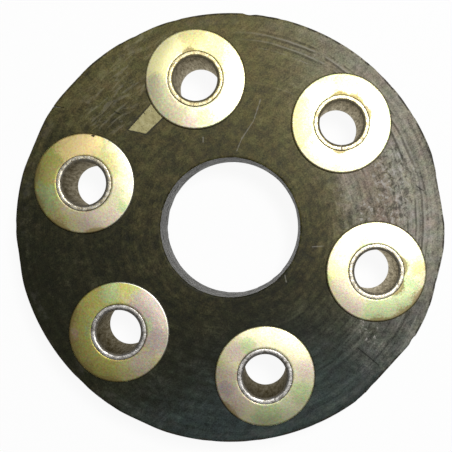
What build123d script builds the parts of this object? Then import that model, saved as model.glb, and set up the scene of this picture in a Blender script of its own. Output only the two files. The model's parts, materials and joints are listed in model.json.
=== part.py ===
"""Flexible disc coupling: a canvas-reinforced rubber disc with six belled steel bolt sleeves.

The disc works between two three-armed flanges. Every other sleeve is bolted to one shaft and
the sleeves between them to the other, so the rubber carries the torque and takes up small
errors of alignment. Each sleeve runs through the disc, and its ends are belled out over a
dished washer on either face.

Millimetres. The origin is the centre of the disc at mid-thickness, +Z is the axis of rotation
and the first sleeve stands on +X.
"""

import os
from math import cos, radians, sin

from build123d import *

# Rubber disc
disc_diameter = 120.0
disc_thickness = 20.0
centre_hole_diameter = 39.0
disc_edge_chamfer = 0.5

# Shallow flats where the outline was trimmed: bearing in degrees, depth below the circle
trimmed_flats = [(26.5, 0.75), (3.0, 0.45), (334.5, 0.9)]
flat_blend_radius = 25.0  # softens the corner where a flat meets the round outline

# Bolt stations
bolt_circle_diameter = 85.0
bolt_count = 6

# Steel sleeves, tubes belled out at both ends
sleeve_bore = 12.2
sleeve_wall = 1.4
lip_height = 0.3  # how far the belled lip stands above the washer's hole
lip_width = 0.25  # how far the lip stands out beyond the tube
lip_chamfer = 0.2
mouth_chamfer = 0.45  # of the bore's mouth

# Dished steel washers, one around each sleeve on either face, bedded in the rubber
washer_diameter = 28.0
washer_thickness = 1.2
washer_dish = 0.35  # how much lower the rim lies than the hole
washer_edge_chamfer = 0.4
countersink_width = 0.5
countersink_depth = 0.5
seat_gap = 0.15  # free width in the rubber around a washer's rim

# The lip of one sleeve split as it was belled out
split_lip_number = 2
split_bearing = 285.0
split_width = 0.5
split_depth = 0.7

# End of a woven reinforcing tape that shows beside one washer, level with the rubber
tape_station_number = 3
tape_bearing = 243.0
tape_thickness = 0.4
tape_root_width = 6.1
tape_tip_width = 4.3
tape_side_shift = -1.65  # from the line through the washer's centre
tape_long_reach = 23.2  # from the washer's centre to the tape's far corner
tape_short_reach = 20.6  # and to its near corner

# Sizes that follow from these
disc_radius = disc_diameter / 2
face_height = disc_thickness / 2
bolt_circle_radius = bolt_circle_diameter / 2
bore_radius = sleeve_bore / 2
tube_radius = bore_radius + sleeve_wall
lip_radius = tube_radius + lip_width
washer_radius = washer_diameter / 2
washer_slope = washer_dish / (washer_radius - tube_radius)
washer_crown = face_height + washer_thickness
lip_crown = washer_crown + lip_height
countersink_radius = tube_radius + countersink_width
countersink_top = washer_crown - washer_slope * countersink_width
countersink_foot = washer_crown - countersink_depth
countersink_slope = (countersink_top - countersink_foot) / countersink_width
seat_radius = washer_radius + seat_gap
seat_floor = face_height - washer_slope * (seat_radius - tube_radius)

bolt_angles = [360 / bolt_count * place for place in range(bolt_count)]
stations = [
    bolt_circle_radius * Vector(cos(radians(angle)), sin(radians(angle))) for angle in bolt_angles
]


def section_plane(station):
    """The plane that a turned piece's section is drawn on: out from its axis, and up along it."""
    return Plane(origin=station, x_dir=station, z_dir=station.cross(Vector(0, 0, 1)))


def bearing_plane(station, height, bearing):
    """A level plane on the station's axis whose X runs along a bearing in degrees."""
    direction = Vector(cos(radians(bearing)), sin(radians(bearing)))
    return Plane(origin=station + Vector(0, 0, height), x_dir=direction, z_dir=(0, 0, 1))


os.makedirs("parts", exist_ok=True)

# Sleeves: straight tubes through the disc, each end belled out into the washer's countersink
for number, station in enumerate(stations, start=1):
    with BuildPart() as sleeve:
        with BuildSketch(section_plane(station)) as sleeve_section:
            with BuildLine():
                Polyline(
                    (bore_radius, 0),
                    (tube_radius, 0),
                    (tube_radius, countersink_foot),
                    (lip_radius, countersink_foot + countersink_slope * lip_width),
                    (lip_radius, lip_crown),
                    (bore_radius, lip_crown),
                    close=True,
                )
            make_face()
            crown_corners = sleeve_section.vertices().group_by(Axis.Y)[-1].sort_by(Axis.X)
            chamfer(crown_corners[0], length=mouth_chamfer)
            chamfer(crown_corners[-1], length=lip_chamfer)
            mirror(about=Plane.XZ)
        revolve(axis=Axis(station, (0, 0, 1)))
        if number == split_lip_number:
            with BuildSketch(bearing_plane(station, lip_crown - split_depth, split_bearing)):
                Rectangle(2 * tube_radius, split_width, align=(Align.MIN, Align.CENTER))
            extrude(amount=2 * split_depth, mode=Mode.SUBTRACT)
    sleeve.part.label = f"sleeve_{number}"
    export_step(sleeve.part, f"parts/sleeve_{number}.step")

# Washers: pressed into a shallow cone, the hollow side on the rubber
for number, station in enumerate(stations, start=1):
    with BuildPart() as front_washer:
        with BuildSketch(section_plane(station)) as washer_section:
            with BuildLine():
                Polyline(
                    (tube_radius, face_height),
                    (washer_radius, face_height - washer_dish),
                    (washer_radius, washer_crown - washer_dish),
                    (countersink_radius, countersink_top),
                    (tube_radius, countersink_foot),
                    close=True,
                )
            make_face()
            rim_corners = washer_section.vertices().group_by(Axis.X)[-1].sort_by(Axis.Y)
            chamfer(rim_corners[-1], length=washer_edge_chamfer)
        revolve(axis=Axis(station, (0, 0, 1)))
    front_washer.part.label = f"front_washer_{number}"
    export_step(front_washer.part, f"parts/front_washer_{number}.step")

    with BuildPart() as rear_washer:
        mirror(front_washer.part, about=Plane.XY)
    rear_washer.part.label = f"rear_washer_{number}"
    export_step(rear_washer.part, f"parts/rear_washer_{number}.step")

# Tape end: a thin band that lies level with the disc's face, then dips at the seat's edge and
# runs on under the washer as far as the sleeve
tape_station = stations[tape_station_number - 1]
with BuildPart() as tape_end:
    with BuildSketch(section_plane(tape_station)):
        with BuildLine():
            Polyline(
                (tube_radius, face_height),
                (seat_radius, seat_floor),
                (seat_radius, face_height),
                (tape_long_reach + tape_root_width, face_height),
                (tape_long_reach + tape_root_width, face_height - tape_thickness),
                (seat_radius + tape_thickness, face_height - tape_thickness),
                (seat_radius + tape_thickness, seat_floor - tape_thickness),
                (seat_radius, seat_floor - tape_thickness),
                (tube_radius, face_height - tape_thickness),
                close=True,
            )
        make_face()
    revolve(axis=Axis(tape_station, (0, 0, 1)))
    with BuildSketch(bearing_plane(tape_station, 0, tape_bearing)):
        with BuildLine():
            Polyline(
                (0, tape_side_shift - tape_root_width / 2),
                (tape_long_reach, tape_side_shift - tape_tip_width / 2),
                (tape_short_reach, tape_side_shift + tape_tip_width / 2),
                (0, tape_side_shift + tape_root_width / 2),
                close=True,
            )
        make_face()
    extrude(amount=disc_thickness, mode=Mode.INTERSECT)
tape_end.part.label = "tape_end"
export_step(tape_end.part, "parts/tape_end.step")

# Rubber disc: one vulcanised block, with a conical seat around each sleeve on both faces
with BuildPart() as rubber_disc:
    with BuildSketch() as outline:
        Circle(disc_radius)
        for bearing, depth in trimmed_flats:
            with PolarLocations(disc_radius - depth, 1, start_angle=bearing):
                Rectangle(
                    disc_radius,
                    disc_radius,
                    align=(Align.MIN, Align.CENTER),
                    mode=Mode.SUBTRACT,
                )
        fillet(outline.vertices(), radius=flat_blend_radius)
        Circle(centre_hole_diameter / 2, mode=Mode.SUBTRACT)
    extrude(amount=face_height, both=True)
    face_edges = rubber_disc.edges().group_by(Axis.Z)
    chamfer(face_edges[0] + face_edges[-1], length=disc_edge_chamfer)

    for station in stations:
        with BuildSketch(section_plane(station)):
            with BuildLine():
                Polyline(
                    (0, 0),
                    (tube_radius, 0),
                    (tube_radius, face_height),
                    (seat_radius, seat_floor),
                    (seat_radius, lip_crown),
                    (0, lip_crown),
                    close=True,
                )
            make_face()
            mirror(about=Plane.XZ)
        revolve(axis=Axis(station, (0, 0, 1)), mode=Mode.SUBTRACT)
    add(tape_end.part, mode=Mode.SUBTRACT)
rubber_disc.part.label = "rubber_disc"
export_step(rubber_disc.part, "parts/rubber_disc.step")
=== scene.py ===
"""Disc coupling: the rubber disc, bolt sleeves, dished washers and tape end, fully dressed.

Lengths are in metres. MM turns a size in millimetres into metres. Bearings are in degrees
about the axis of rotation, counted from the first sleeve.
"""
import json
import math
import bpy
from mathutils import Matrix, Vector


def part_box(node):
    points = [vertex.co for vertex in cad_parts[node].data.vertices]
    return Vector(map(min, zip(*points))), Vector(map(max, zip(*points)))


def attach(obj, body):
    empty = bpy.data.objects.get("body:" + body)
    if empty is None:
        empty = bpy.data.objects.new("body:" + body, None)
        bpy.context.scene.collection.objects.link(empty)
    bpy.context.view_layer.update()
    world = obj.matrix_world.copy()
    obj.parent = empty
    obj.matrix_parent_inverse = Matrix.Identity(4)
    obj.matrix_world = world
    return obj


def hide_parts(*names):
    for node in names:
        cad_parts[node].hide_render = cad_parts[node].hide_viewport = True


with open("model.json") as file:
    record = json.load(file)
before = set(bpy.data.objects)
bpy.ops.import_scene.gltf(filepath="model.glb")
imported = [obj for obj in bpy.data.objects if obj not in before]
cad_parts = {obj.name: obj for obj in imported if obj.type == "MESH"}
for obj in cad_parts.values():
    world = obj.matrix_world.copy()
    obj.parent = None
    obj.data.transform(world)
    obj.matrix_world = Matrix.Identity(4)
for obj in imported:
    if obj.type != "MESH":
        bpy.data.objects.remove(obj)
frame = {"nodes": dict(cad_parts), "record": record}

from types import SimpleNamespace

import bmesh
import bpy
from mathutils import Matrix, Vector, noise

MM = 0.001
AXIS = Vector((0, 0, 0))
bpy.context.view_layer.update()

# What the frame says
mounts = {mount["name"]: mount for mount in frame["record"]["mounts"]}
SLEEVE_NUMBERS = range(1, 7)
STATIONS = {n: Vector(mounts[f"bolt_bore_{n}"]["pos_m"]) for n in SLEEVE_NUMBERS}
BORE_RADIUS = mounts["bolt_bore_1"]["dims"]["r_mm"] * MM
HOLE_RADIUS = mounts["centre_hole"]["dims"]["r_mm"] * MM
LIP_CROWN = mounts["front_bolts"]["pos_m"][2]
disc_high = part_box("rubber_disc")[1]
FACE = disc_high.z
DISC_RADIUS = disc_high.y
washer_low, washer_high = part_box("front_washer_1")
WASHER_RADIUS = (washer_high.y - washer_low.y) / 2
DISH = FACE - washer_low.z

# Sections of the steel pieces
SLEEVE_WALL = 1.4 * MM
LIP_WIDTH = 0.25 * MM
WASHER_THICKNESS = 1.2 * MM
COUNTERSINK_WIDTH = 0.32 * MM
COUNTERSINK_DEPTH = 0.32 * MM
SEAT_GAP = 0.15 * MM
RIM_ROUNDING = 0.38 * MM
BURR_ROUNDING = 0.12 * MM
COUNTERSINK_ROUNDING = 0.10 * MM
LIP_ROUNDING = 0.22 * MM
MOUTH_ROUNDING = 0.9 * MM
SPLIT_SLEEVE = 2
SPLIT_BEARING = 285
SPLIT_SKEW = 3  # degrees between the split's inner and outer end
SPLIT_WIDTH = 0.45 * MM
SPLIT_DEPTH = 0.7 * MM

TUBE_RADIUS = BORE_RADIUS + SLEEVE_WALL
LIP_RADIUS = TUBE_RADIUS + LIP_WIDTH
WASHER_SLOPE = DISH / (WASHER_RADIUS - TUBE_RADIUS)
WASHER_CROWN = FACE + WASHER_THICKNESS
SEAT_RADIUS = WASHER_RADIUS + SEAT_GAP
SEAT_FLOOR = FACE - WASHER_SLOPE * (SEAT_RADIUS - TUBE_RADIUS)

# Outline and surface of the rubber
DISC_EDGE = 0.5 * MM
TRIMMED_FLATS = [(26.5, 0.75 * MM), (3.0, 0.45 * MM), (334.5, 0.9 * MM)]  # bearing, depth
WORN_FLATS = [(132, 0.2 * MM), (154, 0.25 * MM), (174, 0.4 * MM), (205, 0.35 * MM), (262, 0.25 * MM)]
NICKS = [(101.8, 1.6, 0.35 * MM), (345.0, 1.2, 0.25 * MM)]  # bearing, half width in degrees, depth
HALF_FLAT = math.radians(30)  # no flat reaches further round than this
HAIR = 0.005 * MM  # how far the outline keeps inside the round
NOTCH_WIDTH = 0.25 * MM
NOTCH_DEPTH = 0.6 * MM
PLY_PITCH = 2.15 * MM
PLY_DEPTH = 0.12 * MM
PLY_WAVER = 0.7 * MM
PLY_BENDS = 0.07 / MM
PIT_DEPTH = 0.35 * MM
PITS = 0.25 / MM
PIT_LEVEL = 0.15
HOLE_MARGIN = 0.6 * MM  # beyond these two from its walls, the disc's face is left alone
RIM_MARGIN = 1.6 * MM
EDGE_ROOM = 0.8 * MM
WALL_PARTS = 42
FACE_PARTS = 26
DISC_STEPS = 480

# Surface of the steel
WASHER_STEPS = 144
WASHER_RINGS = 12
WASHER_SWELL = 0.06 * MM
WASHER_DENT = 0.04 * MM
WASHER_DENTS = 0.16 / MM  # dents for each metre
# how much further olive each washer turns on its side away from the lamp: painted shade
AWAY_SIDE_SHADE = 0.35
TARNISH = {1: 0.10, 2: 0.10, 3: 0.05, 4: 0.55, 5: 0.75, 6: 0.15}
GILT = {1: 0.45, 2: 0.70, 3: 0.90, 4: 0.45, 5: 0.15, 6: 0.05}
BORE_TONE = {1: 0.95, 2: 0.90, 3: 0.83, 4: 0.68, 5: 0.56, 6: 0.53}
WASHER_SPOTS = {  # by washer: bearing and distance from the washer's centre, and reach, in mm
    "pink_stain": {
        1: [(250, 11.7, 4.5), (224, 10.4, 4.5)],
        3: [(281, 11.8, 3.0)],
        4: [(104, 10.6, 4.5), (327, 12.1, 4.0), (300, 10.4, 5.0)],
        5: [(325, 11.0, 5.0)],
        6: [(156, 10.7, 3.5), (26, 11.9, 4.0), (231, 11.5, 6.5), (200, 11.0, 5.0)],
    },
    "buff_stain": {
        3: [(200, 11.0, 3.0), (224, 11.0, 6.0), (252, 11.5, 6.0)],
    },
    "amber_stain": {
        4: [(107, 11.0, 6.0), (128, 11.0, 5.5)],
    },
    "lilac_stain": {
        5: [(50, 11.3, 8.5), (8, 10.6, 6.0)],
        6: [(215, 11.0, 3.0)],
    },
    # yellow stains; on washer 3 they are also painted shade, darkening the side away from its highlight
    "yellow_stain_and_shade": {
        1: [(20, 12.0, 3.0)],
        2: [(205, 11.0, 6.5), (185, 11.5, 5.5), (95, 10.0, 6.0), (62, 11.0, 4.5)],
        3: [(48, 11.5, 6.0), (76, 11.5, 7.0), (106, 11.0, 6.0)],
        4: [(100, 11.0, 6.0), (60, 9.0, 4.0)],
    },
    # painted highlights: paler zinc where the lamp's highlight falls on washers 1 and 3
    "painted_highlight": {
        1: [(195, 10.0, 4.0)],
        3: [(180, 11.0, 6.0), (160, 11.0, 6.0), (138, 11.0, 6.0)],
    },
    "green_stain": {
        1: [(292, 10.4, 5.5), (328, 10.5, 5.0), (353, 9.6, 4.5)],
        3: [(300, 11.5, 3.0)],
        4: [(221, 11.2, 5.0), (346, 12.5, 2.5)],
        5: [(30, 8.2, 2.5), (120, 11.0, 4.0)],
        6: [(352, 10.9, 4.5), (137, 9.7, 3.0), (290, 11.1, 5.5)],
    },
    "brown_stain": {
        1: [(345, 14.0, 4.0), (320, 14.2, 4.5), (290, 14.3, 4.0), (30, 7.9, 3.0), (340, 7.9, 3.0)],
        2: [(283, 7.6, 2.0), (110, 7.9, 2.6), (75, 7.9, 2.8), (40, 7.9, 2.4)],
        3: [(120, 7.9, 2.2)],
        4: [(185, 14.0, 4.5), (220, 14.2, 4.0), (255, 14.0, 4.5), (300, 14.2, 3.5)],
        5: [(215, 13.8, 6.0), (245, 14.0, 5.0), (180, 14.2, 4.5), (275, 14.2, 4.5)],
        6: [(240, 14.2, 4.0)],
    },
    "dark_chip": {
        4: [(96, 13.4, 0.6)],
    },
    # painted highlights: a near-white line along the rims of washers 4 and 5 on the side facing the
    # lamp
    "painted_rim_highlight": {
        4: [(60, 14.0, 7.0), (30, 14.0, 8.0), (0, 14.0, 8.0), (335, 14.0, 6.0)],
        5: [(90, 14.0, 7.0), (60, 14.0, 8.0), (30, 14.0, 8.0), (5, 14.0, 6.0)],
    },
}
SPOT_LAYERS = {  # the stains, painted highlights and painted shade that each vertex layer carries as its X, Y and Z
    "warm_spots": ("pink_stain", "yellow_stain_and_shade", "amber_stain"),
    "cool_stains": ("green_stain", "lilac_stain", "buff_stain"),
    "rim_spots": ("brown_stain", "painted_highlight", "painted_rim_highlight"),
}
SPOT_COLOURS = [  # in the order in which they are laid on, with their strength
    # the colour of the painted highlights
    ("painted_highlight", (0.86, 0.81, 0.40, 1.0), 0.80),
    # the colour of the yellow stains, and of the painted shade on washer 3
    ("yellow_stain_and_shade", (0.56, 0.51, 0.21, 1.0), 0.85),
    ("pink_stain", (0.58, 0.47, 0.40, 1.0), 0.72),
    ("lilac_stain", (0.42, 0.34, 0.32, 1.0), 0.85),
    ("green_stain", (0.42, 0.53, 0.25, 1.0), 0.70),
    ("buff_stain", (0.49, 0.455, 0.285, 1.0), 0.85),
    ("amber_stain", (0.86, 0.66, 0.28, 1.0), 0.85),
]
DULL_ZINC = (0.34, 0.31, 0.22, 1.0)
BROWN_GRIME = (0.21, 0.155, 0.055, 1.0)
# near-white painted highlight for the rims
RIM_HIGHLIGHT = (0.97, 0.95, 0.84, 1.0)
CHIP = (0.05, 0.04, 0.02, 1.0)
# dark soil, also painted shade just inside the bore mouths
SOIL_AND_SHADE = (0.10, 0.080, 0.045, 1.0)
SOIL_PALE = (0.42, 0.37, 0.26, 1.0)
RUST_PIT = (0.09, 0.07, 0.04, 1.0)
BORE_GLINT = (1.0, 0.91, 0.72)
SLEEVE_STEPS = 128
LIP_DENT = 0.05 * MM
LIP_DENTS = 0.55 / MM  # hammer marks for each metre

# Weave of the tape
TAPE_BEARING = 243
TAPE_VOXEL = 0.13 * MM
YARN_PITCH = 0.55 * MM
WEAVE_DEPTH = 0.04 * MM
YARN_TOP = (0.60, 0.57, 0.36, 1.0)
SOAKED = (0.05, 0.042, 0.022, 1.0)

# Modelling
WELD = 0.001 * MM  # points closer than this are one
ON_EDGE = 0.01 * MM  # how near a point is to a circle that it lies on
OVERRUN = 2 * MM  # how far a cutter stands proud of what it cuts
SMOOTH_UP_TO = math.radians(32)

# Where the camera stands: how far right of and above the disc's centre in its own view
VIEW_TURN = 16.8
VIEW_RIGHT = 10.9 * MM
VIEW_UP = 1.4 * MM
VIEW_HEIGHT = 257 * MM
VIEW_WIDTH = 126.2 * MM
VIEW_SHIFT = (-0.0959, -0.0079)
SENSOR_WIDTH = 36.0

# The lamp stands this far right of, above and in front of the disc's centre in the same view
KEY_PLACE = (110 * MM, 118 * MM, 535 * MM)
KEY_WIDTH = 120 * MM
KEY_POWER = 2.4
ROOM_LEVEL = 0.12
FLOOR_HALF_WIDTH = 3.0
FLOOR_GLOW = 0.93


def on_bearing(bearing, radius, height=0.0):
    """The point at a bearing in degrees and a radius in metres."""
    angle = math.radians(bearing)
    return Vector((radius * math.cos(angle), radius * math.sin(angle), height))


def in_view(right, up, height):
    """The point that lies this far right of and above the disc's centre, as the camera sees it."""
    return on_bearing(VIEW_TURN, right, height) + on_bearing(VIEW_TURN + 90, up)


# Shader building

LEVEL = (1.0, 1.0, 0.0)  # times a vector, this leaves its X and Y
MIDDLE_GREY = (0.5, 0.5, 0.5)
VECTOR_SOCKETS = ("Vector", "Start", "End")


def add_node(tree, kind, inputs=None, **settings):
    """Adds a shader node, applies its settings, and sets or links its inputs."""
    made = tree.nodes.new(kind)
    for name, value in settings.items():
        setattr(made, name, value)
    for socket, value in (inputs or {}).items():
        if isinstance(value, bpy.types.NodeSocket):
            tree.links.new(value, made.inputs[socket])
        else:
            made.inputs[socket].default_value = value
    return made


def calculate(tree, operation, *values):
    """A Math node's result."""
    inputs = dict(enumerate(values))
    return add_node(tree, "ShaderNodeMath", inputs, operation=operation).outputs[0]


def product(tree, first, *others):
    """Several values multiplied together."""
    for other in others:
        first = calculate(tree, "MULTIPLY", first, other)
    return first


def weighted(tree, *terms):
    """The sum of values, each times its weight."""
    total = None
    for value, weight in terms:
        term = product(tree, value, weight)
        total = term if total is None else calculate(tree, "ADD", total, term)
    return total


def any_of(tree, masks):
    """The highest of several masks at each point."""
    highest = masks[0]
    for mask in masks[1:]:
        highest = calculate(tree, "MAXIMUM", highest, mask)
    return highest


def strongest(tree, marks):
    """The highest of several masks, each times its share."""
    return any_of(tree, [product(tree, mask, share) for mask, share in marks])


def remap(tree, value, low, high, to_low=0.0, to_high=1.0):
    """The value eased from one range into another, and held at its ends."""
    inputs = {"Value": value, "From Min": low, "From Max": high, "To Min": to_low, "To Max": to_high}
    made = add_node(tree, "ShaderNodeMapRange", inputs, interpolation_type="SMOOTHSTEP")
    return made.outputs[0]


def vector_math(tree, operation, *values):
    """A Vector Math node's vector."""
    inputs = dict(enumerate(values))
    return add_node(tree, "ShaderNodeVectorMath", inputs, operation=operation).outputs["Vector"]


def measured(tree, operation, *values):
    """A Vector Math node's number: a length, a distance or a dot product."""
    inputs = dict(enumerate(values))
    return add_node(tree, "ShaderNodeVectorMath", inputs, operation=operation).outputs["Value"]


def scaled(tree, vector, factor):
    """A vector times a number."""
    inputs = {0: vector, "Scale": factor}
    return add_node(tree, "ShaderNodeVectorMath", inputs, operation="SCALE").outputs["Vector"]


def parts_of(tree, vector):
    """A vector's X, Y and Z."""
    return list(add_node(tree, "ShaderNodeSeparateXYZ", {0: vector}).outputs)


def millimetres(tree):
    """Object coordinates in millimetres."""
    return scaled(tree, add_node(tree, "ShaderNodeTexCoord").outputs["Object"], 1 / MM)


def attribute(tree, name):
    """A value that the piece's vertices carry."""
    return add_node(tree, "ShaderNodeAttribute", attribute_name=name).outputs["Fac"]


def attribute_parts(tree, name):
    """The three values of a vector that the piece's vertices carry."""
    vector = add_node(tree, "ShaderNodeAttribute", attribute_name=name).outputs["Vector"]
    return parts_of(tree, vector)


def mottle(tree, vector, scale, detail=3.0, roughness=0.55, distortion=0.0):
    """Fractal noise from 0 to 1; scale is in features per millimetre."""
    inputs = {
        "Vector": vector,
        "Scale": scale,
        "Detail": detail,
        "Roughness": roughness,
        "Distortion": distortion,
    }
    return add_node(tree, "ShaderNodeTexNoise", inputs).outputs["Fac"]


def blend(tree, factor, first, second, mode="MIX"):
    """Two colours mixed by a factor."""
    made = add_node(tree, "ShaderNodeMix", {0: factor, 6: first, 7: second}, data_type="RGBA")
    made.blend_type = mode
    return made.outputs[2]


def colour_ramp(tree, factor, stops):
    """A colour picked along a ramp of (position, colour) stops."""
    made = add_node(tree, "ShaderNodeValToRGB", {0: factor})
    elements = made.color_ramp.elements
    for element, (position, colour) in zip(elements, stops):
        element.position, element.color = position, (*colour, 1.0)
    for position, colour in stops[len(elements):]:
        elements.new(position).color = (*colour, 1.0)
    return made.outputs[0]


def new_group(name, inputs, output, output_kind="Float"):
    """A node group with named sockets. Returns its tree, what it is given and its output."""
    tree = bpy.data.node_groups.new(name, "ShaderNodeTree")
    for socket in inputs:
        kind = "Vector" if socket in VECTOR_SOCKETS else "Float"
        tree.interface.new_socket(name=socket, in_out="INPUT", socket_type=f"NodeSocket{kind}")
    tree.interface.new_socket(name=output, in_out="OUTPUT", socket_type=f"NodeSocket{output_kind}")
    given, out = tree.nodes.new("NodeGroupInput"), tree.nodes.new("NodeGroupOutput")
    return tree, given.outputs, out.inputs[output]


def place_group(tree, group, inputs):
    """A group placed in a material with its own values. Returns its output."""
    return add_node(tree, "ShaderNodeGroup", inputs, node_tree=group).outputs[0]


def stroke_group():
    """A mark along a straight line: 1 on the line, falling to 0 at its ragged edges."""
    sockets = ["Vector", "Start", "End", "Half Width", "Raggedness"]
    tree, given, mask = new_group("stroke", sockets, "Mask")
    along = vector_math(tree, "SUBTRACT", given["End"], given["Start"])
    reach = vector_math(tree, "SUBTRACT", given["Vector"], given["Start"])
    lengthwise = measured(tree, "DOT_PRODUCT", reach, along)
    share = calculate(tree, "DIVIDE", lengthwise, measured(tree, "DOT_PRODUCT", along, along))
    held = add_node(tree, "ShaderNodeClamp", {"Value": share}).outputs[0]
    distance = measured(tree, "DISTANCE", reach, scaled(tree, along, held))
    ragged = calculate(tree, "SUBTRACT", mottle(tree, given["Vector"], 0.9), 0.5)
    edge = calculate(tree, "ADD", distance, product(tree, ragged, given["Raggedness"]))
    ratio = calculate(tree, "DIVIDE", edge, given["Half Width"])
    tree.links.new(remap(tree, ratio, 0.35, 1.0, 1.0, 0.0), mask)
    return tree


def ring_group():
    """A mark round the axis of rotation that wavers and is broken up here and there."""
    sockets = ["Vector", "Radius", "Half Width", "Broken"]
    tree, given, mask = new_group("ring", sockets, "Mask")
    level = vector_math(tree, "MULTIPLY", given["Vector"], LEVEL)
    waver = weighted(tree, (mottle(tree, level, 0.06), 2.0), (1.0, -1.0))
    radius = calculate(tree, "ADD", measured(tree, "LENGTH", level), waver)
    distance = calculate(tree, "ABSOLUTE", calculate(tree, "SUBTRACT", radius, given["Radius"]))
    line = remap(tree, calculate(tree, "DIVIDE", distance, given["Half Width"]), 0.3, 1.0, 1.0, 0.0)
    patchy = calculate(tree, "SUBTRACT", mottle(tree, level, 0.12, 5.0, 0.7), given["Broken"])
    tree.links.new(product(tree, line, remap(tree, patchy, 0.0, 0.12)), mask)
    return tree


def specks_group():
    """Scattered specks: 1 where fine noise rises past a level, 0 elsewhere."""
    sockets = ["Vector", "Fineness", "Level", "Softness"]
    tree, given, mask = new_group("specks", sockets, "Mask")
    fine = mottle(tree, given["Vector"], given["Fineness"], 3.0, 0.6)
    over = calculate(tree, "SUBTRACT", fine, given["Level"])
    tree.links.new(remap(tree, calculate(tree, "DIVIDE", over, given["Softness"]), 0.0, 1.0), mask)
    return tree


def grime_group():
    """The smut that gathers where the amount is high, along a washer's rim and around its hole."""
    tree, given, mask = new_group("grime", ["Vector", "Amount"], "Mask")
    smut = mottle(tree, given["Vector"], 1.7, 5.0, 0.78)
    gathered = calculate(tree, "ADD", product(tree, given["Amount"], 0.6), smut)
    tree.links.new(remap(tree, gathered, 0.75, 1.10, 0.0, 0.8), mask)
    return tree


def tints_group():
    """Colours that wander about a middle grey, further from it with more contrast."""
    sockets = ["Vector", "Fineness", "Detail", "Roughness", "Contrast"]
    tree, given, colour = new_group("tints", sockets, "Colour", "Color")
    inputs = {name: given[name] for name in ("Vector", "Detail", "Roughness")}
    inputs["Scale"] = given["Fineness"]
    wandering = add_node(tree, "ShaderNodeTexNoise", inputs).outputs["Color"]
    from_grey = scaled(tree, vector_math(tree, "SUBTRACT", wandering, MIDDLE_GREY), given["Contrast"])
    tree.links.new(vector_math(tree, "ADD", from_grey, MIDDLE_GREY), colour)
    return tree


STROKE = stroke_group()
RING = ring_group()
SPECKS = specks_group()
GRIME = grime_group()
TINTS = tints_group()


def new_material(name):
    """A material with its shader. Returns the material, its tree and its shader."""
    material = bpy.data.materials.new(name)
    material.use_nodes = True
    tree = material.node_tree
    return material, tree, tree.nodes["Principled BSDF"]


def connect(tree, shader, **inputs):
    """Links values to the shader's sockets, whose names are written with underscores."""
    for name, value in inputs.items():
        tree.links.new(value, shader.inputs[name.replace("_", " ")])


def bump(tree, height, strength, distance):
    """A normal bumped by a height; distance is in metres."""
    inputs = {"Strength": strength, "Distance": distance, "Height": height}
    return add_node(tree, "ShaderNodeBump", inputs).outputs["Normal"]


def specks(tree, place, fineness, level, softness):
    """Scattered specks: where fine noise rises past a level."""
    inputs = {"Vector": place, "Fineness": fineness, "Level": level, "Softness": softness}
    return place_group(tree, SPECKS, inputs)


def tinted(tree, place, colour, strength, fineness, detail, roughness, contrast):
    """A colour that other colours play over."""
    inputs = {
        "Vector": place,
        "Fineness": fineness,
        "Detail": detail,
        "Roughness": roughness,
        "Contrast": contrast,
    }
    return blend(tree, strength, colour, place_group(tree, TINTS, inputs), "OVERLAY")


# Colours of the rubber
BARE_RUBBER = (0.0115, 0.0120, 0.0045, 1.0)
BROWN_DUST = (0.122, 0.105, 0.036, 1.0)
BLUE_BLOOM = (0.030, 0.043, 0.042, 1.0)
# grey of scuffs, also painted sheen on the side towards the lamp
GREY_SCUFF_AND_SHEEN = (0.294, 0.277, 0.228, 1.0)
REDDISH_SCUFF = (0.170, 0.125, 0.086, 1.0)
# grey of rubbed wear, also painted sheen at the rim and painted highlight on the ridges
WEAR_AND_SHEEN_GREY = (0.37, 0.352, 0.305, 1.0)
PALE_CRUST = (0.50, 0.475, 0.435, 1.0)
PALE_GRIT = (0.36, 0.34, 0.24, 1.0)
# dark of cracks, also painted shade in the furrows, along the tape's edges and at the rim
WEAR_AND_SHADE_DARK = (0.030, 0.026, 0.018, 1.0)
PIT_BLACK = (0.006, 0.005, 0.003, 1.0)
CUT_BLACK = (0.006, 0.006, 0.005, 1.0)
PLY_LINE = (0.040, 0.037, 0.030, 1.0)
FRAYED_DARK = (0.21, 0.205, 0.185, 1.0)
FRAYED_PALE = (0.34, 0.335, 0.31, 1.0)

# Marks on the front of the rubber, each from one (bearing, radius in mm) to the next
PALE_SCRATCHES = [
    [(93.5, 36.7), (94.5, 30.5), (99.5, 25.0), (102.0, 21.5)],
    [(123.5, 26.3), (124.5, 25.0)],
    [(3.5, 23.5), (5.5, 26.5)],
    [(21.0, 39.5), (28.0, 38.0)],
    [(335.5, 20.3), (332.5, 21.8)],
]
KNIFE_CUTS = [
    [(333.4, 49.0), (333.9, 56.5)],
    [(151.8, 45.7), (151.0, 44.0)],
    [(27.6, 54.9), (28.4, 54.0), (29.4, 53.2)],
]
# painted shadows along the tape's edges
TAPE_EDGE_SHADOWS = [[(138.5, 35.8), (148.9, 35.0), (153.4, 39.6), (140.3, 41.0)]]
RIM_NOTCH = [(161.0, 57.2), (163.0, 61.0)]

# Worn areas: from, to, half width in mm, raggedness
SCUFFED = ((36.0, 43.0), (14.0, 45.0), 15.0, 12.0)
SCRAPED = ((341.0, 46.0), (333.0, 53.0), 8.0, 5.0)
REDDENED = ((40.0, 42.5), (14.0, 42.0), 7.5, 7.0)
BRUSHED = ((153.0, 47.0), (133.0, 53.0), 10.0, 10.0)
CRUMBLED = [
    ((38.0, 48.5), (22.0, 46.5), 8.0, 9.0),
    ((342.0, 47.0), (339.0, 49.0), 3.0, 9.0),
    ((24.0, 38.5), (12.0, 38.5), 3.0, 9.0),
]

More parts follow.
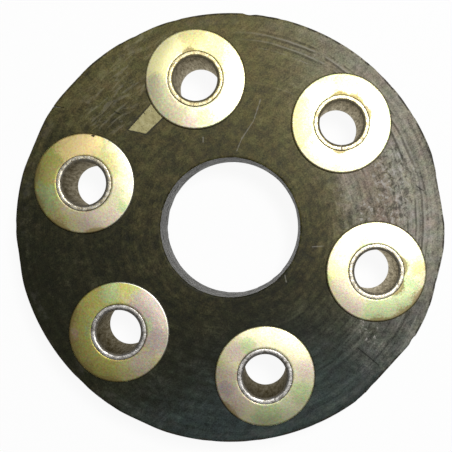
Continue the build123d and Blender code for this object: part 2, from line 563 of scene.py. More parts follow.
# Moulded rings: radius in mm, half width, how much of it is missing. The ridges are painted pale and
# the furrows dark: painted highlight and painted shade of the relief.
RIDGES = [
    (54.4, 0.42, 0.34),
    (52.5, 0.38, 0.37),
    (50.6, 0.30, 0.46),
    (41.0, 0.30, 0.45),
    (43.5, 0.28, 0.50),
]
FURROWS = [(53.8, 0.40, 0.36), (51.9, 0.36, 0.38), (40.4, 0.32, 0.46), (55.2, 0.32, 0.44)]
# painted sheen: a pale band just inside the rim
RIM_SHEEN = [(57.8, 1.6, 0.50)]

# Dust drifts: towards this bearing, from and up to this many mm from the axis, how much
DUST_DRIFTS = [
    (100.0, -30.0, 66.0, 0.80),
    (20.0, 0.0, 40.0, 0.40),
    (190.0, 36.0, 60.0, -0.12),
    (235.0, 10.0, 40.0, 0.08),
]


def stroke_mask(tree, place, start, end, half_width, raggedness):
    """One mark on the front face between two (bearing, radius in mm) points."""
    inputs = {
        "Vector": place,
        "Start": on_bearing(*start, FACE / MM),
        "End": on_bearing(*end, FACE / MM),
        "Half Width": half_width,
        "Raggedness": raggedness,
    }
    return place_group(tree, STROKE, inputs)


def strokes(tree, place, paths, half_width, raggedness):
    """One mask for marks that follow several paths on the front face."""
    pairs = [pair for path in paths for pair in zip(path, path[1:])]
    return any_of(tree, [stroke_mask(tree, place, *pair, half_width, raggedness) for pair in pairs])


def rings(tree, place, rows):
    """One mask for several (radius, half width, missing share) rings."""
    masks = []
    for radius, half_width, missing in rows:
        inputs = {"Vector": place, "Radius": radius, "Half Width": half_width, "Broken": missing}
        masks.append(place_group(tree, RING, inputs))
    return any_of(tree, masks)


def towards(tree, place, bearing, low, high):
    """A share that grows from 0 to 1 across the disc towards a bearing, from low to high mm."""
    return remap(tree, measured(tree, "DOT_PRODUCT", place, on_bearing(bearing, 1.0)), low, high)


def combed(tree, across, radius, pitch, spread):
    """Noise drawn out in arcs about the axis of rotation, shorter ones for a larger spread."""
    around = scaled(tree, vector_math(tree, "NORMALIZE", across), spread)
    lift = add_node(tree, "ShaderNodeCombineXYZ", {"Z": calculate(tree, "DIVIDE", radius, pitch)})
    return mottle(tree, vector_math(tree, "ADD", around, lift.outputs[0]), 1.0, 5.0, 0.62, 0.3)


def rubber_surface(tree):
    """Where a point lies on the disc, and the unevenness that the rubber's layers share there."""
    place = millimetres(tree)
    height = parts_of(tree, place)[2]
    across = vector_math(tree, "MULTIPLY", place, LEVEL)
    radius = measured(tree, "LENGTH", across)
    brush = {"Vector": place, "Rotation": (0.0, 0.0, math.radians(57)), "Scale": (3.2, 0.8, 1.0)}
    drawn_out = add_node(tree, "ShaderNodeMapping", brush, vector_type="TEXTURE").outputs[0]
    at = SimpleNamespace(
        place=place,
        height=height,
        radius=radius,
        on_face=remap(tree, calculate(tree, "ABSOLUTE", height), 9.40, 9.60),
        cloudy=mottle(tree, place, 0.12, 6.0, 0.68, 0.5),
        blotchy=mottle(tree, place, 0.50, 6.0, 0.72, 0.3),
        grain=mottle(tree, place, 2.4, 3.0, 0.75),
        arcs=combed(tree, across, radius, 1.4, 2.2),
        crumbs=combed(tree, across, radius, 1.2, 30.0),
        bristled=mottle(tree, drawn_out, 0.75, 4.0, 0.68, 0.8),
    )
    at.uneven = weighted(tree, (at.cloudy, 0.38), (at.blotchy, 0.32), (at.grain, 0.14), (at.arcs, 0.16))
    return at


def dusted_rubber(tree, at):
    """Black rubber under brown dust, with a grey side, partly scuffed and partly painted sheen, and a
    bluish bloom at its foot.
    """

    def stains_and_light(share, hardness):
        """A share broken up by the unevenness, less so where it is faint; the grey side's share is
        partly painted sheen.
        """
        swing = remap(tree, share, 0.0, 0.5, 0.65 * hardness, hardness)
        swing = product(tree, calculate(tree, "SUBTRACT", at.uneven, 0.5), swing)
        return remap(tree, calculate(tree, "ADD", share, swing), 0.0, 1.0)

    settled = [(towards(tree, at.place, *drift), share) for *drift, share in DUST_DRIFTS]
    near_hole = remap(tree, at.radius, 36.0, 24.0)
    settled.append((product(tree, towards(tree, at.place, 240.0, -10.0, 20.0), near_hole), 0.14))
    # greyer towards bearing 36, the side towards the lamp: partly scuffed, partly painted sheen; the
    # scuffed and scraped patches are wear
    greyed = [
        (towards(tree, at.place, 36.0, 14.0, 62.0), 0.76),
        (stroke_mask(tree, at.place, *SCUFFED), 0.36),
        (stroke_mask(tree, at.place, *SCRAPED), 0.16),
    ]
    dust = stains_and_light(weighted(tree, *settled), 2.0)
    grey = stains_and_light(weighted(tree, *greyed), 1.6)
    blue = stains_and_light(towards(tree, at.place, 312.0, 14.0, 62.0), 2.0)
    red = stroke_mask(tree, at.place, *REDDENED)
    rubber = blend(tree, dust, BARE_RUBBER, BROWN_DUST)
    rubber = blend(tree, product(tree, blue, 0.85), rubber, BLUE_BLOOM)
    rubber = blend(tree, product(tree, grey, 0.85), rubber, GREY_SCUFF_AND_SHEEN)
    rubber = blend(tree, product(tree, red, 0.60), rubber, REDDISH_SCUFF)
    return tinted(tree, at.place, rubber, 0.09, 0.32, 5.0, 0.68, 2.4)


def grained_rubber(tree, at, rubber):
    """The rubber's grain worked into its colour, and combed into arcs on the right side."""
    right_side = product(tree, towards(tree, at.place, 350.0, 0.0, 42.0), at.on_face)
    mixed = weighted(tree, (at.grain, 0.42), (at.blotchy, 0.20), (at.bristled, 0.26), (at.arcs, 0.12))
    arcs = calculate(tree, "SUBTRACT", at.arcs, 0.5)
    combing = product(tree, arcs, remap(tree, at.cloudy, 0.36, 0.56), 2.6, right_side)
    shade = calculate(tree, "ADD", remap(tree, mixed, 0.34, 0.66, 0.32, 1.85), combing)
    shade = add_node(tree, "ShaderNodeCombineColor", {0: shade, 1: shade, 2: shade}).outputs[0]
    return blend(tree, 0.9, rubber, shade, "MULTIPLY")


def marked_rubber(tree, at, rubber):
    """The rubber with its wear, painted sheen and painted shade. Returns its colour, the share of wear
    and sheen and the marks' relief.
    """
    crumbled = any_of(tree, [stroke_mask(tree, at.place, *area) for area in CRUMBLED])
    crumbled = product(tree, crumbled, at.on_face)
    crust = product(tree, remap(tree, at.crumbs, 0.54, 0.62), crumbled)
    cracks = product(tree, remap(tree, at.crumbs, 0.40, 0.46, 1.0, 0.0), crumbled)
    bristles = product(tree, stroke_mask(tree, at.place, *BRUSHED), at.on_face)
    bristles = product(tree, remap(tree, at.bristled, 0.50, 0.64), bristles)
    # on the side towards the lamp, pale ridges are painted highlight and dark furrows painted shade
    ridged_side = product(tree, towards(tree, at.place, 44.0, 22.0, 44.0), at.on_face)
    ridges = product(tree, rings(tree, at.place, RIDGES), ridged_side)
    furrows = product(tree, rings(tree, at.place, FURROWS), ridged_side)

    # pale wear, with painted sheen along the rim and painted highlight on the ridges
    wear_and_sheen_marks = [
        (bristles, 0.18),
        (rings(tree, at.place, RIM_SHEEN), 0.06),
        (ridges, 0.44),
        (strokes(tree, at.place, PALE_SCRATCHES, 0.21, 0.60), 0.38),
    ]
    wear_and_sheen = strongest(tree, wear_and_sheen_marks)
    rubber = blend(tree, wear_and_sheen, rubber, WEAR_AND_SHEEN_GREY)
    rubber = blend(tree, product(tree, crust, 0.65), rubber, PALE_CRUST)

    # painted shade: a ragged dark band along the rounded outer edge and the trimmed flats
    sides = [remap(tree, at.radius, 59.2, 59.5)]
    for bearing, depth in TRIMMED_FLATS:
        reach = (DISC_RADIUS - depth) / MM
        sides.append(towards(tree, at.place, bearing, reach - 0.8, reach - 0.5))
    ragged = remap(tree, mottle(tree, at.place, 0.20, 5.0, 0.75), 0.47, 0.52)
    # dark cracks, with painted shade in the furrows, along the tape's edges and at the rim
    dark_marks = [
        (cracks, 0.65),
        (furrows, 0.62),
        (strokes(tree, at.place, TAPE_EDGE_SHADOWS, 0.40, 0.50), 0.60),
        (product(tree, any_of(tree, sides), at.on_face, ragged), 0.85),
    ]
    rubber = blend(tree, strongest(tree, dark_marks), rubber, WEAR_AND_SHADE_DARK)
    grit = specks(tree, at.place, 1.5, 0.735, 0.04)
    rubber = blend(tree, product(tree, grit, 0.35), rubber, PALE_GRIT)
    pits = specks(tree, at.place, 1.25, 0.68, 0.06)
    rubber = blend(tree, product(tree, pits, 0.6), rubber, PIT_BLACK)
    return rubber, wear_and_sheen, [(crust, 0.45), (ridges, 0.8), (cracks, -0.6), (furrows, -0.7)]


def ply_walls(tree, at):
    """The frayed canvas of the disc's walls. Returns its mask, its colour and its ply lines."""
    at_rim, at_hole = remap(tree, at.radius, 58.0, 58.5), remap(tree, at.radius, 20.3, 20.6, 1.0, 0.0)
    walls = calculate(tree, "SUBTRACT", 1.0, at.on_face)
    walls = product(tree, walls, any_of(tree, [at_rim, at_hole]))
    waver = product(tree, mottle(tree, at.place, 0.10, 2.0), 1.2)
    plies = calculate(tree, "DIVIDE", calculate(tree, "ADD", at.height, waver), PLY_PITCH / MM)
    from_middle = calculate(tree, "SUBTRACT", calculate(tree, "FRACT", plies), 0.5)
    from_middle = calculate(tree, "ABSOLUTE", from_middle)
    lines = remap(tree, weighted(tree, (from_middle, 1.0), (at.grain, 0.35)), 0.42, 0.60)
    frayed = blend(tree, at.grain, FRAYED_DARK, FRAYED_PALE)
    return walls, blend(tree, lines, frayed, PLY_LINE), lines


def canvas_rubber():
    """Black rubber over canvas: dust, scuffs, arcs and wear on its faces with painted sheen and shade,
    plies at its walls.
    """
    material, tree, shader = new_material("canvas_rubber")
    at = rubber_surface(tree)
    rubber = grained_rubber(tree, at, dusted_rubber(tree, at))
    rubber, wear_and_sheen, marks = marked_rubber(tree, at, rubber)
    walls, wall_colour, ply_lines = ply_walls(tree, at)
    rubber = blend(tree, walls, rubber, wall_colour)
    cuts = strokes(tree, at.place, KNIFE_CUTS, 0.22, 0.15)
    rubber = blend(tree, product(tree, cuts, 0.70), rubber, CUT_BLACK)

    gloss = remap(tree, at.uneven, 0.3, 0.7, 0.42, 0.58)
    gloss = calculate(tree, "ADD", gloss, weighted(tree, (wear_and_sheen, 0.2), (walls, -0.08)))
    skin = [(at.cloudy, 0.6), (at.blotchy, 0.5), (at.grain, 0.35), (at.arcs, 0.5)]
    cut_in = [(cuts, -0.8), (product(tree, walls, ply_lines), -0.9)]
    normal = bump(tree, weighted(tree, *skin, *marks, *cut_in), 0.6, 0.15 * MM)
    connect(tree, shader, Base_Color=rubber, Roughness=gloss, Normal=normal)
    shader.inputs["Specular IOR Level"].default_value = 0.12
    return material


def plated_steel():
    """Washers: yellow passivated zinc that turns green and pink, olive where it has tarnished and, as
    painted shade, on each washer's side away from the lamp; some rims and faces carry painted
    highlights.
    """
    material, tree, shader = new_material("yellow_zinc")
    place = millimetres(tree)
    from_axis, tarnish_and_shade, dark_chip = attribute_parts(tree, "plating")
    stains_and_light = {}
    for layer, names in SPOT_LAYERS.items():
        stains_and_light.update(zip(names, attribute_parts(tree, layer)))
    slow = mottle(tree, place, 0.09, 2.0, 0.5, 1.0)
    middling = mottle(tree, place, 0.40, 5.0, 0.68, 0.6)
    grain = mottle(tree, place, 1.9, 4.0, 0.75)
    film = weighted(tree, (slow, 0.42), (middling, 0.38), (grain, 0.20))
    bright = colour_ramp(
        tree,
        film,
        [
            (0.36, (0.70, 0.57, 0.46)),
            (0.44, (0.68, 0.63, 0.41)),
            (0.51, (0.70, 0.67, 0.44)),
            (0.58, (0.56, 0.61, 0.37)),
            (0.66, (0.66, 0.58, 0.45)),
        ],
    )
    olive = colour_ramp(
        tree,
        film,
        [
            (0.38, (0.54, 0.40, 0.22)),
            (0.45, (0.50, 0.44, 0.12)),
            (0.53, (0.46, 0.44, 0.11)),
            (0.61, (0.36, 0.42, 0.17)),
        ],
    )
    # olive where tarnished, and painted shade on each washer's side away from the lamp
    patchy = calculate(tree, "ADD", tarnish_and_shade, weighted(tree, (slow, 1.2), (middling, 0.6), (0.9, -1.0)))
    zinc = blend(tree, remap(tree, patchy, 0.1, 0.9), bright, olive)

    # Stains, painted highlights and painted shade whose edges the same noise breaks up
    ragged = weighted(tree, (middling, 2.2), (grain, 1.4), (1.8, -1.0))
    for name, colour, share in SPOT_COLOURS:
        edge = remap(tree, calculate(tree, "ADD", stains_and_light[name], ragged), 0.10, 0.85)
        within = remap(tree, stains_and_light[name], 0.0, 0.3)
        zinc = blend(tree, product(tree, edge, within, share), zinc, colour)

    zinc = tinted(tree, place, zinc, 0.36, 1.8, 3.0, 0.7, 2.2)
    zinc = blend(tree, product(tree, remap(tree, grain, 0.40, 0.68), 0.30), zinc, DULL_ZINC)

    amount = weighted(
        tree,
        (stains_and_light["brown_stain"], 0.85),
        (remap(tree, from_axis, 12.5, 13.9), 0.65),
        (remap(tree, from_axis, 9.0, 7.8), 0.65),
    )
    # painted highlight: a near-white line along the rim facing the lamp, with the grime taken off there
    rim_highlight = product(tree, stains_and_light["painted_rim_highlight"], remap(tree, from_axis, 13.58, 13.68), 0.75)
    amount = calculate(tree, "SUBTRACT", amount, rim_highlight)
    grime = place_group(tree, GRIME, {"Vector": place, "Amount": amount})
    zinc = blend(tree, grime, zinc, BROWN_GRIME)
    zinc = blend(tree, rim_highlight, zinc, RIM_HIGHLIGHT)
    zinc = blend(tree, remap(tree, dark_chip, 0.3, 0.6), zinc, CHIP)
    gloss = remap(tree, weighted(tree, (film, 0.5), (grain, 0.5)), 0.3, 0.7, 0.36, 0.48)
    gloss = calculate(tree, "ADD", gloss, product(tree, grime, 0.1))
    relief = weighted(tree, (grain, 0.6), (mottle(tree, place, 0.5, 3.0, 0.6), 0.7))
    connect(tree, shader, Base_Color=zinc, Roughness=gloss, Normal=bump(tree, relief, 0.3, 0.06 * MM))
    shader.inputs["Metallic"].default_value = 1.0
    return material


def sleeve_steel():
    """Sleeves: plated steel, mottled gold and silver on the lips and dull grey-brown down the bore."""
    material, tree, shader = new_material("sleeve_steel")
    place = millimetres(tree)
    height = calculate(tree, "ABSOLUTE", parts_of(tree, place)[2])
    grain = mottle(tree, place, 2.6, 5.0, 0.7)
    blotch = mottle(tree, place, 0.8, 5.0, 0.68, 0.5)
    drawn = add_node(tree, "ShaderNodeMapping", {"Vector": place, "Scale": (1.0, 1.0, 0.15)}).outputs[0]
    drawn = mottle(tree, drawn, 1.3, 5.0, 0.75)
    lip = remap(tree, calculate(tree, "ADD", height, product(tree, blotch, 1.2)), 11.45, 12.05)
    silver = colour_ramp(
        tree,
        blotch,
        [(0.36, (0.20, 0.19, 0.17)), (0.48, (0.45, 0.43, 0.40)), (0.60, (0.66, 0.64, 0.61))],
    )
    gold = colour_ramp(
        tree,
        blotch,
        [(0.34, (0.30, 0.23, 0.10)), (0.48, (0.48, 0.41, 0.22)), (0.62, (0.62, 0.57, 0.36))],
    )
    gilded = calculate(tree, "ADD", attribute(tree, "gilt"), weighted(tree, (grain, 1.6), (0.8, -1.0)))
    bare = blend(tree, remap(tree, gilded, 0.2, 0.8), silver, gold)
    dull = colour_ramp(
        tree,
        drawn,
        [(0.38, (0.10, 0.085, 0.055)), (0.50, (0.46, 0.415, 0.310)), (0.62, (0.80, 0.750, 0.610))],
    )
    tone = attribute(tree, "bore_tone")
    steel = blend(tree, lip, scaled(tree, dull, product(tree, tone, tone)), bare)
    glint = blend(tree, lip, scaled(tree, BORE_GLINT, tone), (1.0, 1.0, 1.0, 1.0))
    # a dark band just inside each bore mouth: soil and painted shade under the lip
    mouth = product(tree, remap(tree, height, 10.3, 11.0), calculate(tree, "SUBTRACT", 1.0, lip))
    steel = blend(tree, mouth, steel, blend(tree, grain, SOIL_AND_SHADE, SOIL_PALE))
    pits = specks(tree, place, 1.9, 0.58, 0.10)
    steel = blend(tree, product(tree, pits, 0.7), steel, RUST_PIT)
    gloss = remap(tree, grain, 0.3, 0.7, 0.42, 0.62)
    gloss = calculate(tree, "SUBTRACT", gloss, product(tree, lip, 0.10))
    relief = weighted(tree, (grain, 0.5), (blotch, 1.2), (pits, -0.6))
    bared = remap(tree, mouth, 0.0, 1.0, 1.0, 0.3)
    normal = bump(tree, relief, 0.4, 0.08 * MM)
    connect(tree, shader, Base_Color=steel, Metallic=bared, Roughness=gloss, Normal=normal)
    connect(tree, shader, Specular_Tint=glint)
    return material


def woven_tape():
    """Buff cotton tape, soaked with rubber solution here and there."""
    material, tree, shader = new_material("woven_tape")
    place = millimetres(tree)
    turn = {"Vector": place, "Rotation": (0.0, 0.0, math.radians(-TAPE_BEARING))}
    along_tape = add_node(tree, "ShaderNodeMapping", turn).outputs[0]
    yarn_inputs = {"Vector": along_tape, "Scale": 2.2, "Distortion": 0.3}
    warp = add_node(tree, "ShaderNodeTexWave", yarn_inputs, bands_direction="X").outputs["Fac"]
    weft = add_node(tree, "ShaderNodeTexWave", yarn_inputs, bands_direction="Y").outputs["Fac"]
    weave = product(tree, warp, weft)
    stain = mottle(tree, place, 0.7, 5.0, 0.7)
    cloth = colour_ramp(
        tree,
        stain,
        [(0.3, (0.24, 0.205, 0.075)), (0.5, (0.44, 0.395, 0.18)), (0.7, (0.54, 0.500, 0.27))],
    )
    cloth = blend(tree, product(tree, weave, 0.25), cloth, YARN_TOP)
    soaked = specks(tree, place, 1.6, 0.615, 0.05)
    cloth = blend(tree, product(tree, soaked, 0.85), cloth, SOAKED)
    gloss = remap(tree, stain, 0.3, 0.7, 0.75, 0.9)
    connect(tree, shader, Base_Color=cloth, Roughness=gloss, Normal=bump(tree, weave, 0.6, 0.06 * MM))
    return material


# Modelling

def finish_piece(bm, name, material, slot, *nodes):
    """Turns a bmesh into a piece that rides on the part and stands for CAD nodes."""
    bmesh.ops.recalc_face_normals(bm, faces=bm.faces)
    for face in bm.faces:
        face.smooth = True
    for edge in bm.edges:
        edge.smooth = edge.calc_face_angle(0.0) < SMOOTH_UP_TO
    mesh = bpy.data.meshes.new(name)
    bm.to_mesh(mesh)
    bm.free()
    piece = bpy.data.objects.new(name, mesh)
    bpy.context.scene.collection.objects.link(piece)
    mesh.materials.append(material)
    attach(piece, "root")
    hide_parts(*nodes)
    return piece


def from_station(vert, station):
    """How far a vertex is from a sleeve's axis."""
    return math.hypot(vert.co.x - station.x, vert.co.y - station.y)


def turned(profile, station, steps):
    """A section of (radius, height) corners turned about a sleeve's axis into a closed skin."""
    bm = bmesh.new()
    corners = [bm.verts.new((station.x + radius, station.y, height)) for radius, height in profile]
    sides = zip(corners, corners[1:] + corners[:1])
    ring = [bm.edges.new(side) for side in sides if any(from_station(end, station) for end in side)]
    bmesh.ops.spin(
        bm,
        geom=corners + ring,
        cent=station,
        axis=(0, 0, 1),
        angle=math.tau,
        steps=steps,
        use_merge=True,
    )
    bmesh.ops.remove_doubles(bm, verts=bm.verts, dist=WELD)
    bmesh.ops.recalc_face_normals(bm, faces=bm.faces)
    return bm


def circle_edges(bm, station, radius, height):
    """The edges of the circle at this radius and height about a sleeve's axis."""

    def on_circle(vert):
        across = abs(from_station(vert, station) - radius)
        return across < ON_EDGE and abs(vert.co.z - height) < ON_EDGE

    return [edge for edge in bm.edges if all(on_circle(vert) for vert in edge.verts)]


def round_circle(bm, station, radius, height, width, segments):
    """Rounds the edge that lies on a circle about a sleeve's axis."""
    bmesh.ops.bevel(
        bm,
        geom=circle_edges(bm, station, radius, height),
        offset=width,
        offset_type="OFFSET",
        affect="EDGES",
        segments=segments,
        profile=0.5,
        material=-1,
    )


def scratch_object(bm):
    """A passing object that holds a bmesh while modifiers work on it."""
    mesh = bpy.data.meshes.new("scratch")
    bm.to_mesh(mesh)
    bm.free()
    holder = bpy.data.objects.new("scratch", mesh)
    bpy.context.scene.collection.objects.link(holder)
    return holder


def evaluated(holder):
    """The bmesh that a scratch object's modifiers make."""
    result = holder.evaluated_get(bpy.context.evaluated_depsgraph_get())
    bm = bmesh.new()
    bm.from_mesh(result.to_mesh())
    result.to_mesh_clear()
    return bm


def discard(*holders):
    """Scratch objects taken away with their meshes."""
    for holder in holders:
        bpy.data.meshes.remove(holder.data)


# A cut that leaves less than this share of the blank has failed, and the next solver makes it
LEAST_LEFT = 0.5
SOLVERS = ("EXACT", "MANIFOLD")


def cut_away(bm, cutters):
    """The bmesh with the cutters' shapes taken out of it, by the first solver that manages it."""
    least = bm.calc_volume() * LEAST_LEFT
    blank = scratch_object(bm)
    tools = [scratch_object(cutter) for cutter in cutters]
    for tool in tools:
        cut = blank.modifiers.new("cut", "BOOLEAN")
        cut.object, cut.operation = tool, "DIFFERENCE"
    for solver in SOLVERS:
        for cut in blank.modifiers:
            cut.solver = solver
        carved = evaluated(blank)
        if carved.calc_volume() > least:
            break
        carved.free()
    else:
        raise RuntimeError("no solver could make the cut")
    discard(blank, *tools)
    return carved


def blade(start, end, width, depth):
    """A thin block that cuts from one point on a surface to another, this wide and deep."""
    bm = bmesh.new()
    bmesh.ops.create_cube(bm, size=1.0)
    run = end - start
    bmesh.ops.scale(bm, vec=(run.length, width, 2 * depth), verts=bm.verts)
    turn = Matrix.Rotation(math.atan2(run.y, run.x), 3, "Z")
    bmesh.ops.rotate(bm, cent=(0, 0, 0), matrix=turn, verts=bm.verts)
    bmesh.ops.translate(bm, vec=(start + end) / 2, verts=bm.verts)
    return bm


def spot_at(vert, name, number):
    """How strongly a spot colours a washer's vertex: 1 at a spot's centre, 0 at its reach."""
    strongest = 0.0
    for bearing, radius, reach in WASHER_SPOTS[name].get(number, []):
        centre = STATIONS[number] + on_bearing(bearing, radius * MM)
        share = math.hypot(vert.co.x - centre.x, vert.co.y - centre.y) / (reach * MM)
        strongest = max(strongest, 1 - share * share)
    return strongest


def dished_washer(side, number, material):
    """A pressed washer, its hollow side on the rubber; side is 1 at the front and -1 at the rear."""
    station = STATIONS[number]
    cone_foot = Vector((WASHER_RADIUS, WASHER_CROWN - DISH))
    hole_radius = TUBE_RADIUS + COUNTERSINK_WIDTH
    cone_top = Vector((hole_radius, WASHER_CROWN - WASHER_SLOPE * COUNTERSINK_WIDTH))
    profile = [(TUBE_RADIUS, FACE), (WASHER_RADIUS, FACE - DISH)]
    for step in range(WASHER_RINGS + 1):
        share = step / WASHER_RINGS
        crowned = cone_foot.lerp(cone_top, share)
        crowned.y += WASHER_SWELL * math.sin(math.pi * share)
        profile.append(tuple(crowned))
    profile.append((TUBE_RADIUS, WASHER_CROWN - COUNTERSINK_DEPTH))
    bm = turned(profile, station, WASHER_STEPS)
    round_circle(bm, station, *cone_foot, RIM_ROUNDING, 5)
    round_circle(bm, station, WASHER_RADIUS, FACE - DISH, BURR_ROUNDING, 2)
    round_circle(bm, station, *cone_top, COUNTERSINK_ROUNDING, 2)
    for layer_name, names in SPOT_LAYERS.items():
        layer = bm.verts.layers.float_vector.new(layer_name)
        for vert in bm.verts:
            vert[layer] = [spot_at(vert, name, number) for name in names]
    plating = bm.verts.layers.float_vector.new("plating")
    for vert in bm.verts:
        from_axis = from_station(vert, station) / MM
        # painted shade: each washer's side away from the lamp turns further olive, added to its tarnish
        away_from_lamp = (vert.co - station).dot(on_bearing(VIEW_TURN + 180, 1.0)) / WASHER_RADIUS
        tarnish_and_shade = TARNISH[number] + AWAY_SIDE_SHADE * away_from_lamp
        vert[plating] = (from_axis, tarnish_and_shade, spot_at(vert, "dark_chip", number))
        if vert.co.z > FACE + 0.1 * MM:
            dent = noise.noise(vert.co * WASHER_DENTS + Vector((0, 0, 7.0 * side)))
            vert.co.z += WASHER_DENT * dent
    bmesh.ops.scale(bm, vec=(1, 1, side), verts=bm.verts)
    place = "front" if side > 0 else "rear"
    name = f"{place}_washer_{number}"
    return finish_piece(bm, f"pressed_{name}", material, "plated_steel", name)


def bolt_sleeve(number, material):
    """A tube through the disc, both its ends belled out and hammered down on the washers."""
    station = STATIONS[number]
    foot = WASHER_CROWN - COUNTERSINK_DEPTH
    rise = COUNTERSINK_DEPTH / COUNTERSINK_WIDTH - WASHER_SLOPE
    belled_end = [
        (TUBE_RADIUS, foot),
        (LIP_RADIUS, foot + rise * LIP_WIDTH),
        (LIP_RADIUS, LIP_CROWN),
        (BORE_RADIUS, LIP_CROWN),
    ]
    other_end = [(radius, -height) for radius, height in reversed(belled_end)]
    bm = turned(belled_end + other_end, station, SLEEVE_STEPS)
    for height in (LIP_CROWN, -LIP_CROWN):
        round_circle(bm, station, LIP_RADIUS, height, LIP_ROUNDING, 4)
        round_circle(bm, station, BORE_RADIUS, height, MOUTH_ROUNDING, 8)
    gilt = bm.verts.layers.float.new("gilt")
    bore_tone = bm.verts.layers.float.new("bore_tone")
    for vert in bm.verts:
        vert[gilt] = GILT[number]
        vert[bore_tone] = BORE_TONE[number]
        if abs(vert.co.z) > WASHER_CROWN:
            blow = noise.noise_vector(vert.co * LIP_DENTS) * LIP_DENT
            vert.co += Vector((blow.x, blow.y, -math.copysign(abs(blow.z), vert.co.z)))
    if number == SPLIT_SLEEVE:
        lip = Vector((station.x, station.y, LIP_CROWN))
        start = lip + on_bearing(SPLIT_BEARING, BORE_RADIUS - 1 * MM)
        end = lip + on_bearing(SPLIT_BEARING + SPLIT_SKEW, LIP_RADIUS + 1 * MM)
        bm = cut_away(bm, [blade(start, end, SPLIT_WIDTH, SPLIT_DEPTH)])
    return finish_piece(bm, f"swaged_sleeve_{number}", material, "sleeve_steel", f"sleeve_{number}")


def flattened_radius(bearing):
    """The disc's radius at a bearing in degrees: round, but for its trimmed and worn flats."""
    radius = DISC_RADIUS
    for flat_bearing, depth in TRIMMED_FLATS + WORN_FLATS:
        away = math.radians((bearing - flat_bearing + 180) % 360 - 180)
        if abs(away) < HALF_FLAT:
            radius = min(radius, (DISC_RADIUS - depth) / math.cos(away))
    return radius


def outline_radius(bearing):
    """The same radius with its corners eased, its nicks taken out, and a hair inside the round."""
    steps = range(-2, 3)
    eased = sum(flattened_radius(bearing + step) for step in steps) / len(steps) - HAIR
    for nick_bearing, half_width, depth in NICKS:
        share = abs((bearing - nick_bearing + 180) % 360 - 180) / half_width
        eased -= depth * max(0.0, 1 - share * share)
    return eased


def divided(start, end, parts):
    """Points from one corner up to, but without, the next, with room at both for a rounded edge."""
    start, end = Vector(start), Vector(end)
    margin = EDGE_ROOM / (end - start).length
    shares = [margin + (1 - 2 * margin) * part / parts for part in range(parts + 1)]
    return [tuple(start)] + [tuple(start.lerp(end, share)) for share in shares]


def disc_blank():
    """The disc as moulded and trimmed, without its bolt holes."""
    corners = [(HOLE_RADIUS, -FACE), (HOLE_RADIUS, FACE), (DISC_RADIUS, FACE), (DISC_RADIUS, -FACE)]
    profile = []
    for start, end in zip(corners, corners[1:] + corners[:1]):
        parts = WALL_PARTS if start[0] == end[0] else FACE_PARTS
        profile += divided(start, end, parts)
    bm = turned(profile, AXIS, DISC_STEPS)
    for radius, height in corners:
        round_circle(bm, AXIS, radius, height, DISC_EDGE, 3)
    for vert in bm.verts:
        radius = from_station(vert, AXIS)
        bearing = math.degrees(math.atan2(vert.co.y, vert.co.x))
        share = (radius - HOLE_RADIUS) / (DISC_RADIUS - HOLE_RADIUS)
        pulled_in = share * (DISC_RADIUS - outline_radius(bearing))
        vert.co.xy *= (radius - pulled_in) / radius
    return bm


def weather_walls(bm):
    """Wears ply lines and pits into the disc's outer wall and the wall of its centre hole."""
    bmesh.ops.triangulate(bm, faces=[face for face in bm.faces if len(face.verts) > 4])
    bm.normal_update()
    for vert in bm.verts:
        radius = from_station(vert, AXIS)
        if HOLE_RADIUS + HOLE_MARGIN < radius < DISC_RADIUS - RIM_MARGIN:
            continue
        wall = 1 - abs(vert.normal.z)
        ragged = noise.fractal(vert.co * PITS, 1.0, 2.0, 4)
        wander = noise.noise(vert.co * PLY_BENDS)
        ply = (vert.co.z + PLY_WAVER * wander) / PLY_PITCH
        line = (0.5 + 0.5 * math.cos(math.tau * ply)) ** 4
        pit = max(0.0, ragged - PIT_LEVEL)
        vert.co -= vert.normal * wall * (PLY_DEPTH * line + PIT_DEPTH * pit)


def bolt_hole_cutter(station):
    """The room for a sleeve and for the two washers' seats."""
    seat = [
        (0.0, FACE + OVERRUN),
        (SEAT_RADIUS, FACE + OVERRUN),
        (SEAT_RADIUS, SEAT_FLOOR),
        (TUBE_RADIUS, FACE),
    ]
    other_seat = [(radius, -height) for radius, height in reversed(seat)]
    bm = turned(seat + other_seat, station, WASHER_STEPS)
    bmesh.ops.dissolve_degenerate(bm, edges=bm.edges, dist=WELD)
    return bm


def rubber_disc(material):
    """The vulcanised block, with its seats, the tape's pocket, a notch in its rim and worn walls."""
    cutters = [bolt_hole_cutter(station) for station in STATIONS.values()]
    cutters.append(merged_copy("tape_end"))
    start, end = (on_bearing(bearing, radius * MM, FACE) for bearing, radius in RIM_NOTCH)
    cutters.append(blade(start, end, NOTCH_WIDTH, NOTCH_DEPTH))
    bm = cut_away(disc_blank(), cutters)
    weather_walls(bm)
    return finish_piece(bm, "canvas_rubber_disc", material, "canvas_rubber", "rubber_disc")


def merged_copy(node):
    """A bmesh of a CAD node, its loose triangles joined."""
    bm = bmesh.new()
    bm.from_mesh(frame["nodes"][node].data)
    bmesh.ops.remove_doubles(bm, verts=bm.verts, dist=WELD)
    return bm


def tape(material):
    """The tape's end, with a raised weave and a soft edge."""
    holder = scratch_object(merged_copy("tape_end"))
    remesh = holder.modifiers.new("remesh", "REMESH")
    remesh.mode, remesh.voxel_size = "VOXEL", TAPE_VOXEL
    bm = evaluated(holder)
    discard(holder)
    bm.normal_update()
    yarn = Matrix.Rotation(math.radians(-TAPE_BEARING), 3, "Z")
    for vert in bm.verts:
        thread = yarn @ vert.co * (math.tau / YARN_PITCH)
        vert.co -= vert.normal * WEAVE_DEPTH * (0.5 + 0.5 * math.sin(thread.x) * math.sin(thread.y))
    return finish_piece(bm, "woven_tape_end", material, "woven_tape", "tape_end")


# Stage

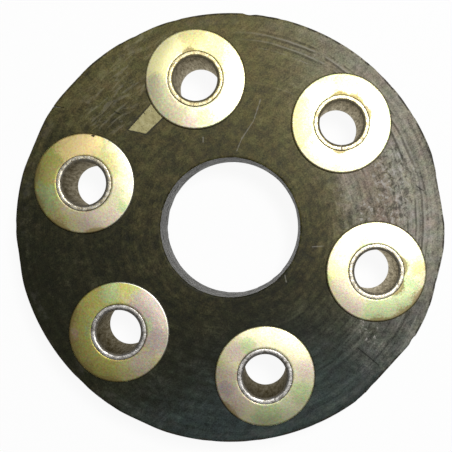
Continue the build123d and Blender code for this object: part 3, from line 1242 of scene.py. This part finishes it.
def lay_floor():
    """A plain white floor under the coupling that keeps its shadow."""
    bm = bmesh.new()
    bmesh.ops.create_grid(bm, x_segments=1, y_segments=1, size=FLOOR_HALF_WIDTH)
    bmesh.ops.translate(bm, vec=(0, 0, -LIP_CROWN), verts=bm.verts)
    mesh = bpy.data.meshes.new("floor")
    bm.to_mesh(mesh)
    bm.free()
    floor = bpy.data.objects.new("floor", mesh)
    bpy.context.scene.collection.objects.link(floor)

    material, tree, shader = new_material("floor_white")
    shader.inputs["Base Color"].default_value = (0.95, 0.95, 0.95, 1.0)
    shader.inputs["Roughness"].default_value = 0.9
    white = add_node(tree, "ShaderNodeEmission", {"Color": (1, 1, 1, 1), "Strength": 1.0})
    seen = add_node(tree, "ShaderNodeLightPath")
    looked_at = any_of(
        tree,
        [seen.outputs[ray] for ray in ("Is Camera Ray", "Is Glossy Ray", "Is Transmission Ray")],
    )
    share = calculate(tree, "MULTIPLY", looked_at, FLOOR_GLOW)
    surface = add_node(
        tree, "ShaderNodeMixShader", {0: share, 1: shader.outputs[0], 2: white.outputs[0]}
    )
    tree.links.new(surface.outputs[0], tree.nodes["Material Output"].inputs["Surface"])
    mesh.materials.append(material)


def light_studio():
    """One soft round lamp at the upper right of the view, in an even grey room."""
    data = bpy.data.lights.new("key", "AREA")
    data.shape, data.size, data.energy = "DISK", KEY_WIDTH, KEY_POWER
    lamp = bpy.data.objects.new("key", data)
    lamp.location = in_view(*KEY_PLACE)
    lamp.rotation_euler = (-lamp.location).to_track_quat("-Z", "Y").to_euler()
    bpy.context.scene.collection.objects.link(lamp)

    world = bpy.data.worlds.new("room")
    world.use_nodes = True
    background = world.node_tree.nodes["Background"]
    background.inputs["Color"].default_value = (1.0, 1.0, 1.0, 1.0)
    background.inputs["Strength"].default_value = ROOM_LEVEL
    bpy.context.scene.world = world


def set_camera():
    """The camera looks straight down on the disc, standing a little to the right of its centre."""
    data = bpy.data.cameras.new("camera")
    data.sensor_width = SENSOR_WIDTH
    data.lens = SENSOR_WIDTH * VIEW_HEIGHT / VIEW_WIDTH
    data.shift_x, data.shift_y = VIEW_SHIFT
    data.clip_start = 0.01
    camera = bpy.data.objects.new("camera", data)
    camera.location = in_view(VIEW_RIGHT, VIEW_UP, FACE + VIEW_HEIGHT)
    camera.rotation_euler = (0, 0, math.radians(VIEW_TURN))
    bpy.context.scene.collection.objects.link(camera)
    bpy.context.scene.camera = camera


bpy.context.scene.view_settings.view_transform = "Standard"
set_camera()
light_studio()
lay_floor()

rubber = canvas_rubber()
zinc = plated_steel()
bright_steel = sleeve_steel()
rubber_disc(rubber)
tape(woven_tape())
for number in SLEEVE_NUMBERS:
    bolt_sleeve(number, bright_steel)
    for side in (1, -1):
        dished_washer(side, number, zinc)
